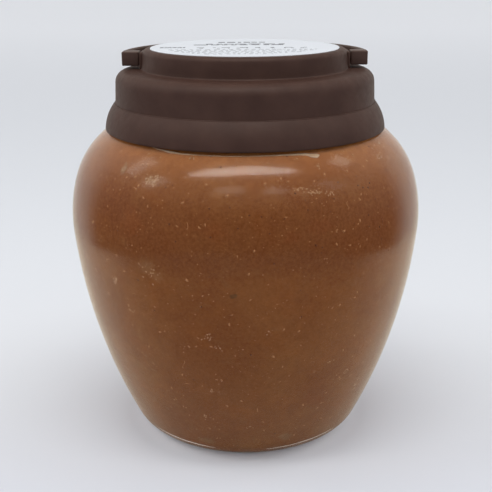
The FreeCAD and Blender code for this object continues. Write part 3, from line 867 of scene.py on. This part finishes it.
airSlivers = {
    # turn, height of the middle, thickness along the skin, for each thin pale sliver: an air pocket held by
    # the wall under the cap, whose pale colour is a painted reflection, and painted highlights along the heel
    "underCap": [(-38.0, 127.8, 0.1), (-34.0, 127.6, 0.6), (-28.0, 127.25, 1.0), (-24.0, 127.1, 0.7),
                 (-16.0, 127.1, 0.35), (-8.0, 127.1, 0.3), (0.0, 127.15, 0.3), (8.0, 127.15, 0.4),
                 (14.0, 127.15, 0.6), (19.0, 127.05, 0.9), (22.4, 126.9, 1.2), (24.4, 126.4, 2.0),
                 (26.2, 126.2, 2.1), (27.3, 126.3, 1.4), (27.8, 126.3, 0.2)],
    # painted highlights: bright lines along the heel, left and right of the front
    "heelHighlightLeft": [(-52.0, 6.3, 0.05), (-49.5, 6.1, 0.4), (-40.0, 5.7, 0.6), (-30.0, 5.3, 0.6),
                 (-22.0, 5.0, 0.5), (-17.0, 4.8, 0.3), (-15.5, 4.8, 0.05)],
    "heelHighlightRight": [(9.0, 4.6, 0.05), (11.0, 4.6, 0.3), (20.0, 4.9, 0.4), (32.0, 5.4, 0.5), (42.0, 5.8, 0.45),
                  (46.5, 6.0, 0.3), (48.0, 6.0, 0.05)],
}


# degrees between rings, points round a ring, depth as a share of the thickness and its limit
sliverShape = {"step": 0.8, "sides": 8, "depth": 0.3, "deepest": 0.12}


def makeSlivers(name, paths, material):
    # thin bright crescents: an air gap under the cap where the paste doesn't reach the wall, its brightness a
    # painted reflection, and painted highlights along the heel
    work = bmesh.new()
    for path in (airSlivers[key] for key in paths):
        rings = []
        steps = round((path[-1][0] - path[0][0]) / sliverShape["step"])
        for i in range(steps + 1):
            turn = path[0][0] + (path[-1][0] - path[0][0]) * i / steps
            here = max(k for k in range(len(path) - 1) if path[k][0] <= turn + 1e-6)
            share = (turn - path[here][0]) / (path[here + 1][0] - path[here][0])
            share = share * share * (3 - 2 * share)
            height, thick = (path[here][n] + (path[here + 1][n] - path[here][n]) * share for n in (1, 2))
            place, facing = skinPoint(turn, height, 0.0)
            upwards = facing.cross(Vector((-place.y, place.x, 0)).normalized()).normalized()
            deep = min(sliverShape["deepest"], thick * sliverShape["depth"])
            ring = []
            for k in range(sliverShape["sides"]):
                a = 2 * math.pi * k / sliverShape["sides"]
                offset = upwards * (math.cos(a) * thick / 2) + facing * (math.sin(a) * deep)
                ring.append(work.verts.new(place + offset * mm))
            rings.append(ring)
        joinRings(work, rings)
        work.faces.new(rings[0][::-1])
        work.faces.new(rings[-1])
    bmesh.ops.recalc_face_normals(work, faces=work.faces)
    return finishedBits(name, work, material)


makeBits()
makeCrumbs(bitFinish("crumbFinish", (144, 104, 70), (172, 134, 98)))
# air pockets against the wall: their pale rims are painted highlights
makeBubbleHighlights(bitFinish("airPocketFinish", (158, 118, 80), (182, 142, 102)))
makeDots(bitFinish("darkDotFinish", (72, 34, 10), (96, 50, 20)))
# the air gap under the cap: its pale colour is a painted reflection
makeSlivers("airSlivers", ["underCap"], bitFinish("airSliverFinish", (158, 124, 94), (190, 164, 138), 5.0))
# painted highlights along the heel, only where the heel would reflect the pale room
makeSlivers("heelSlivers", ["heelHighlightLeft", "heelHighlightRight"],
            bitFinish("heelSliverFinish", (236, 222, 204), (252, 246, 236), 5.0))


capShape = {
    "tierFoot": 41.75,
    "tierTop": 41.0,
    "ledgeHeight": 152.2,
    "ledgeFall": 0.35,
    "ledgeEdge": 52.2,
    "tierEdgeRound": 2.0,
    "tierFootRound": 0.8,
    "ledgeRound": 4.4,
    "creaseInner": 52.75,
    "creaseOuter": 53.2,
    "creaseHeight": 139.41,
    "creaseFade": 0.25,
    "creaseRound": 0.14,
    "skirtArc": 17.0,
    "skirtEdge": 0.4,
    "skirtWall": 1.1,
    "sleeveInner": 50.35,
    "sleeveFoot": 138.21,
    "sleeveRound": 0.5,
    "deckUnder": 150.3,
    "deckRound": 0.3,
    "tierInner": 39.1,
    "topUnder": 158.55,
    "topRound": 0.6,
    "turns": 240,
}


def makeCap(material):
    c = capShape
    top = capBox[1].z / mm
    low = capBox[0].z / mm
    hem = widest(capBox)
    # the skirt bulges outwards between its hem and the crease
    start = Vector((hem, low + c["skirtEdge"]))
    end = Vector((c["creaseOuter"], c["creaseHeight"] - c["creaseFade"]))
    chord = end - start
    centre = (start + end) / 2 + Vector((-chord.y, chord.x)).normalized() * math.sqrt(
        c["skirtArc"] ** 2 - (chord.length / 2) ** 2)
    first = math.atan2(start.y - centre.y, start.x - centre.x)
    last = math.atan2(end.y - centre.y, end.x - centre.x)
    skirt = arcPoints(centre, c["skirtArc"], first, last, step=0.5)
    edge = c["skirtEdge"]
    hemRound = arcPoints((hem - edge, low + edge), edge, -math.pi / 2, 0, step=0.12)
    upper = roundedPath([
        (c["creaseOuter"], c["creaseHeight"] - c["creaseFade"], 0),
        (c["creaseOuter"], c["creaseHeight"], c["creaseRound"]),
        (c["creaseInner"], c["creaseHeight"], c["creaseRound"]),
        (c["ledgeEdge"], c["ledgeHeight"] - c["ledgeFall"], c["ledgeRound"]),
        (c["tierFoot"], c["ledgeHeight"], c["tierFootRound"]),
        (c["tierTop"], top, c["tierEdgeRound"]),
        (0, top, 0),
    ])
    under = roundedPath([
        (0, c["topUnder"], 0),
        (c["tierInner"], c["topUnder"], c["topRound"]),
        (c["tierInner"], c["deckUnder"], c["deckRound"]),
        (c["sleeveInner"], c["deckUnder"], c["sleeveRound"]),
        (c["sleeveInner"], c["sleeveFoot"], c["sleeveRound"]),
        (hem - c["skirtWall"], low, 0),
        (hem - edge, low, 0),
    ])
    section = hemRound[1:] + skirt[1:] + upper[1:] + under[:-1] + [hemRound[0]]
    cap = runTree("turnedCap", chainMesh("capSection", section), turned,
                  {"Turns": c["turns"], "Finish": material})
    return outwardNormals(cap)


bossShape = {"radius": 42.4, "front": -4.0, "back": 8.5, "low": 151.9, "high": 158.85, "round": 0.7,
             "inner": 39.6}


def roundedBlock(name, low, high, rounding, material, segments=4):
    # a block between two corners in millimetres, with all its edges rounded
    work = bmesh.new()
    size = Vector(high) - Vector(low)
    middle = (Vector(high) + Vector(low)) / 2
    bmesh.ops.create_cube(work, size=1.0, matrix=scaledTo(middle * mm, size * mm))
    bmesh.ops.bevel(work, geom=work.edges[:], offset=rounding * mm, segments=segments, profile=0.5,
                    affect="EDGES")
    return linked(name, meshFrom(name, work, material))


def joined(name, things, material):
    # one object from several, at the origin
    work = bmesh.new()
    for thing in things:
        work.from_mesh(thing.data)
    mesh = smoothMesh(meshFrom(name, work, material))
    for thing in things:
        bpy.data.objects.remove(thing)
    return linked(name, mesh)


def makeBosses(material):
    b = bossShape
    blocks = []
    for side in (-1, 1):
        inner, outer = sorted((side * b["inner"], side * b["radius"]))
        blocks.append(roundedBlock("boss", (inner, b["front"], b["low"]), (outer, b["back"], b["high"]),
                                   b["round"], material))
    return blocks


bailShape = {"thick": 1.9, "blockInner": 42.7, "front": -2.6, "back": 4.6, "round": 0.5, "steps": 96,
             "strapBevel": 0.45, "pinRadius": 1.6, "pinEnd": 40.4, "pinInBlock": 1, "pinSides": 40}


def makeBail(material):
    b = bailShape
    low = bailBox[0].z / mm
    high = bailBox[1].z / mm
    outer = bailBox[1].x / mm
    inner = outer - b["thick"]
    # the strap: a rectangle with bevelled corners, swept half a turn round the back of the tier
    loop = [(inner + b["strapBevel"], low), (outer - b["strapBevel"], low), (outer, low + b["strapBevel"]),
            (outer, high - b["strapBevel"]), (outer - b["strapBevel"], high), (inner + b["strapBevel"], high),
            (inner, high - b["strapBevel"]), (inner, low + b["strapBevel"])]
    work = bmesh.new()
    rings = []
    for i in range(b["steps"] + 1):
        a = math.pi * i / b["steps"]
        rings.append([work.verts.new((r * mm * math.cos(a), r * mm * math.sin(a), z * mm)) for r, z in loop])
    joinRings(work, rings)
    work.faces.new(rings[0])
    work.faces.new(rings[-1][::-1])
    bmesh.ops.recalc_face_normals(work, faces=work.faces)
    things = [linked("strap", meshFrom("strap", work, material))]
    for side in (-1, 1):
        near, far = sorted((side * b["blockInner"], side * outer))
        things.append(roundedBlock("block", (near, b["front"], low), (far, b["back"], high),
                                   b["round"], material))
        # the pin runs from its end in the boss to inside the block
        pin = bmesh.new()
        length = b["blockInner"] - b["pinEnd"] + b["pinInBlock"]
        middle = side * (b["pinEnd"] + length / 2)
        along = Matrix.Rotation(math.pi / 2, 4, "Y")
        matrix = Matrix.Translation((middle * mm, 0, (low + high) / 2 * mm)) @ along
        bmesh.ops.create_cone(pin, cap_ends=True, segments=b["pinSides"], radius1=b["pinRadius"] * mm,
                              radius2=b["pinRadius"] * mm, depth=length * mm, matrix=matrix)
        things.append(linked("pin", meshFrom("pin", pin, material)))
    return joined("bailHandle", things, material)


def softEdges(thing, angle=35):
    thing.data.set_sharp_from_angle(angle=math.radians(angle))
    for face in thing.data.polygons:
        face.use_smooth = True
    return thing


capMaterial = mattedBrown("capBrown", **capLook)
bailMaterial = mattedBrown("bailBrown", **bailLook)
cap = joined("screwCap", [makeCap(capMaterial)] + makeBosses(capMaterial), capMaterial)
softEdges(cap)
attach(cap, "jar")
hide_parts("cap")
bail = makeBail(bailMaterial)
softEdges(bail)
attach(bail, "handle")
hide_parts("handle")
print("cap and bail:", len(cap.data.polygons), len(bail.data.polygons))


labelShape = {"edgeRound": 0.06, "inkDepth": 0.03, "turns": 160}


def makeLabel(material):
    s = labelShape
    radius = widest(labelBox)
    low = labelBox[0].z / mm
    high = labelBox[1].z / mm - s["inkDepth"]
    section = roundedPath([(0, low, 0), (radius, low, 0), (radius, high, s["edgeRound"]), (0, high, 0)])
    label = runTree("topLabel", chainMesh("labelSection", section), turned,
                    {"Turns": s["turns"], "Finish": material})
    return outwardNormals(label)


printRows = [
    # place across the label, from its middle towards the back; ends; height of the row, mean bar and gap
    {"y": 21.0, "from": -11.2, "to": 11.0, "height": 3.0, "bar": 2.6, "gap": 0.7},
    {"y": 12.5, "from": -16.0, "to": 20.3, "height": 2.4, "bar": 3.6, "gap": 1.2},
    {"y": 9.0, "from": -21.0, "to": 17.0, "height": 2.2, "bar": 4.2, "gap": 1.4},
    {"y": -3.0, "from": -19.2, "to": 26.3, "height": 1.4, "bar": 2.4, "gap": 3.0},
    {"y": -5.4, "from": -18.0, "to": 26.3, "height": 1.4, "bar": 1.1, "gap": 3.6},
    {"y": -0.6, "from": -34.0, "to": -24.0, "height": 1.3, "bar": 1.3, "gap": 0.4},
    {"y": -3.0, "from": -34.0, "to": -24.0, "height": 1.3, "bar": 1.0, "gap": 0.3},
    {"y": -11.0, "from": -30.0, "to": 30.0, "height": 0.6, "bar": 1.6, "gap": 1.0},
    {"y": -14.5, "from": -29.0, "to": 28.0, "height": 0.6, "bar": 1.4, "gap": 1.0},
    {"y": -18.0, "from": -27.0, "to": 25.0, "height": 0.6, "bar": 1.5, "gap": 1.1},
    {"y": -21.5, "from": -24.0, "to": 22.0, "height": 0.6, "bar": 1.3, "gap": 1.0},
    {"y": -25.0, "from": -20.0, "to": 18.0, "height": 0.6, "bar": 1.5, "gap": 1.1},
    {"y": -28.5, "from": -15.0, "to": 12.0, "height": 0.6, "bar": 1.3, "gap": 1.2},
]


def makePrint(material):
    # rows of plain bars stand where such a label has its print
    top = labelBox[1].z
    rng = random.Random(5)
    work = bmesh.new()
    for row in printRows:
        x = row["from"]
        while x < row["to"] - row["bar"] * 0.7:
            length = row["bar"] * rng.uniform(0.5, 1.4)
            height = row["height"] * rng.uniform(0.75, 1.0)
            size = Vector((length, height, labelShape["inkDepth"] * 1.6)) * mm
            middle = Vector((x + length / 2, row["y"], 0)) * mm + Vector((0, 0, top - size.z / 2))
            bmesh.ops.create_cube(work, size=1.0, matrix=scaledTo(middle, size))
            x += length + row["gap"] * rng.uniform(0.6, 1.6)
    return linked("labelPrint", meshFrom("labelPrint", work, material))


label = softEdges(makeLabel(labelPaper()))
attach(label, "jar")
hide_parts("label")
ink = makePrint(labelInk())
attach(ink, "jar")
print("label and print:", len(label.data.polygons), len(ink.data.polygons))


stageLook = {
    # floor colours, and the distances in metres between which each fades in
    "floor": (209, 212, 218),
    "floorNear": (205, 209, 222),
    "nearFades": (-0.22, 0.06),
    "floorFar": (232, 234, 239),
    "farFades": (0.15, 2.5),
    # painted light on the floor close round the foot, and the distances between which it fades
    "floorBesideLight": (239, 242, 249),
    "besideLightFades": (0.0535, 0.043),
    # painted reflection: the sheet's colours as the jar's gloss shows them, with painted shade in front
    "glossShadedFront": (112, 110, 104),
    "glossBehind": (221, 218, 205),
    "glossFades": (-0.13, 0.0),
    "sheetHalf": 0.28,
    "sheetFront": -0.49,
    "far": 25,
    # light from the room: the ways between which each share fades in, and the share
    "roomBack": (0.1, 0.9, 1.32),
    "roomFront": (-0.3, -0.95, 0.42),
    "roomSide": (0.3, 0.9, 1.32),
    "seen": 0.77,
    "tint": (0.965, 0.98, 1.0),
    # what gloss sees of the room
    "dim": 0.02,
    "behind": 0.82,
    "behindFades": (0.25, 0.62),
    "roof": 0.42,
    "roofFades": (0.22, 0.62),
    "glossTint": (1.0, 0.96, 0.9),
    "lampTint": (1.0, 0.97, 0.91),
}
softLamps = {
    # rows of soft lamps under a ceiling, whose faces show in the jar's gloss
    "overhead": {"place": (-0.03, -0.305, 0.90), "size": (0.86, 0.165), "radiance": 10.5, "shape": "ELLIPSE",
                 "turn": 4},
    "backLeft": {"place": (-0.94, 0.15, 0.90), "size": (0.60, 0.22), "radiance": 2.4},
    "backRight": {"place": (0.72, 0.13, 0.90), "size": (0.26, 0.20), "radiance": 2.7},
    "sideLeft": {"place": (-1.05, -0.31, 0.90), "size": (0.60, 0.20), "radiance": 2.4},
    "sideRight": {"place": (1.05, -0.46, 0.90), "size": (0.55, 0.20), "radiance": 1.2},
    "frontLeft": {"place": (-0.17, -0.79, 0.90), "size": (0.30, 0.23), "radiance": 2.4},
    "frontRight": {"place": (0.335, -0.81, 0.90), "size": (0.26, 0.23), "radiance": 2.4},
}
sunLamps = {
    # way that the light goes, what it adds to a white floor, breadth in degrees
    "above": {"way": (0, 0.15, -1), "level": 0.02, "spread": 40},
    "fromLeft": {"way": (0.94, -0.25, -0.36), "level": 0.10, "spread": 60},
    "fromRight": {"way": (-0.94, -0.25, -0.36), "level": 0.10, "spread": 60},
}


def flatPatch(name, x0, x1, y0, y1, material):
    mesh = bpy.data.meshes.new(name)
    mesh.from_pydata([(x0, y0, 0), (x1, y0, 0), (x1, y1, 0), (x0, y1, 0)], [], [(0, 1, 2, 3)])
    mesh.materials.append(material)
    patch = linked(name, mesh)
    return patch


def makeFloor():
    # the pale sheet under the jar shows in its gloss, the rest of the floor doesn't
    look = stageLook
    f = Finish("paleFloor")
    # in the jar's gloss the sheet is warmer, and dimmer in front of the jar than behind it: a painted
    # reflection, with painted shade in front
    depth = f.add("ShaderNodeSeparateXYZ", {0: f.coords}, output=1)
    glossy = f.lay(f.smooth(depth, *look["glossFades"]), look["glossBehind"], linear(*look["glossShadedFront"]))
    path = f.add("ShaderNodeLightPath", output="Is Glossy Ray")
    plain = f.lay(f.smooth(depth, *look["nearFades"]), look["floor"], linear(*look["floorNear"]))
    plain = f.lay(f.smooth(depth, *look["farFades"]), look["floorFar"], plain)
    # painted light: the floor is paler close round the foot, standing for light that the clear foot throws
    # there
    flat = f.vector("MULTIPLY", f.coords, (1, 1, 0))
    beside = f.vector("LENGTH", flat, output="Value")
    plain = f.lay(f.smooth(beside, *look["besideLightFades"]), look["floorBesideLight"], plain)
    f.join(f.mix(path, plain, glossy), "Base Color")
    f.set(Roughness=0.6, Specular_IOR_Level=0.2)
    half, front, far = look["sheetHalf"], look["sheetFront"], look["far"]
    flatPatch("sheet", -half, half, front, far, f.material)
    for name, *edges in (("floorLeft", -far, -half, front, far), ("floorRight", half, far, front, far),
                         ("floorFront", -far, far, -far, front)):
        flatPatch(name, *edges, f.material).visible_glossy = False


def makeWorld():
    # pale to look at; gloss sees a grey roof, a dark band round the set and a pale backdrop behind
    look = stageLook
    world = bpy.data.worlds.new("room")
    bpy.context.scene.world = world
    world.use_nodes = True
    links = world.node_tree.links
    room = NodeMaker(world.node_tree)
    add = room.add

    def fade(way, fades, first, last):
        return add("ShaderNodeMapRange", {"Value": way, "From Min": fades[0], "From Max": fades[1],
                                          "To Min": first, "To Max": last}, interpolation_type="SMOOTHSTEP")

    ways = add("ShaderNodeTexCoord", output="Generated")
    across, depth, height = add("ShaderNodeSeparateXYZ", {0: ways}).node.outputs
    aside = room.math("ABSOLUTE", across)
    level = 0.0
    for way, part in ((depth, "roomBack"), (depth, "roomFront"), (aside, "roomSide")):
        low, high, share = look[part]
        level = room.math("ADD", fade(way, (low, high), 0.0, share), level)
    backdrop = fade(depth, look["behindFades"], look["dim"], look["behind"])
    gloss = fade(height, look["roofFades"], backdrop, look["roof"])
    path = add("ShaderNodeLightPath").node.outputs
    seen = room.math("MAXIMUM", path["Is Camera Ray"], path["Is Transmission Ray"])
    plain = add("ShaderNodeMapRange", {"Value": seen, "To Min": level, "To Max": look["seen"]})
    level = add("ShaderNodeMapRange", {"Value": path["Is Glossy Ray"], "To Min": plain, "To Max": gloss})
    background = world.node_tree.nodes["Background"]
    tint = add("ShaderNodeMix", {"Factor": path["Is Glossy Ray"], "A": (*look["tint"], 1),
                                 "B": (*look["glossTint"], 1)}, output=2, data_type="RGBA")
    links.new(tint, background.inputs["Color"])
    links.new(level, background.inputs["Strength"])


def softbox(name, place, size, radiance, shape="RECTANGLE", turn=0):
    # an area lamp that faces down, with the given radiance of its face, where 1 is white
    lamp = bpy.data.lights.new(name, "AREA")
    lamp.shape = shape
    lamp.size, lamp.size_y = size
    area = size[0] * size[1] * (math.pi / 4 if shape == "ELLIPSE" else 1)
    lamp.energy = radiance * area * math.pi
    lamp.color = stageLook["lampTint"]
    thing = linked(name, lamp)
    thing.location = place
    thing.rotation_euler.z = math.radians(turn)


def sunLamp(name, way, level, spread):
    # a broad distant lamp that gloss doesn't see
    lamp = bpy.data.lights.new(name, "SUN")
    lamp.energy = level * math.pi / -Vector(way).normalized().z
    lamp.angle = math.radians(spread)
    thing = linked(name, lamp)
    thing.rotation_euler = Vector(way).to_track_quat("-Z", "Y").to_euler()
    thing.visible_glossy = False


# place in metres, degrees that it looks down and leans, lens and sensor in millimetres
cameraShape = {"place": (0.0001, -0.3708, 0.1942), "down": 17.67, "lean": -0.314, "lens": 65.85, "sensor": 36}


def makeCamera():
    c = cameraShape
    camera = bpy.data.cameras.new("camera")
    camera.lens = c["lens"]
    camera.sensor_width = c["sensor"]
    thing = linked("camera", camera)
    pitch = math.radians(90 - c["down"])
    roll = math.radians(c["lean"])
    thing.matrix_world = (Matrix.Translation(c["place"]) @ Matrix.Rotation(pitch, 4, "X")
                          @ Matrix.Rotation(roll, 4, "Z"))
    bpy.context.scene.camera = thing


makeFloor()
makeWorld()
for name, lamp in softLamps.items():
    softbox(name, **lamp)
for name, lamp in sunLamps.items():
    sunLamp(name, **lamp)
makeCamera()
bpy.context.scene.view_settings.view_transform = "Standard"
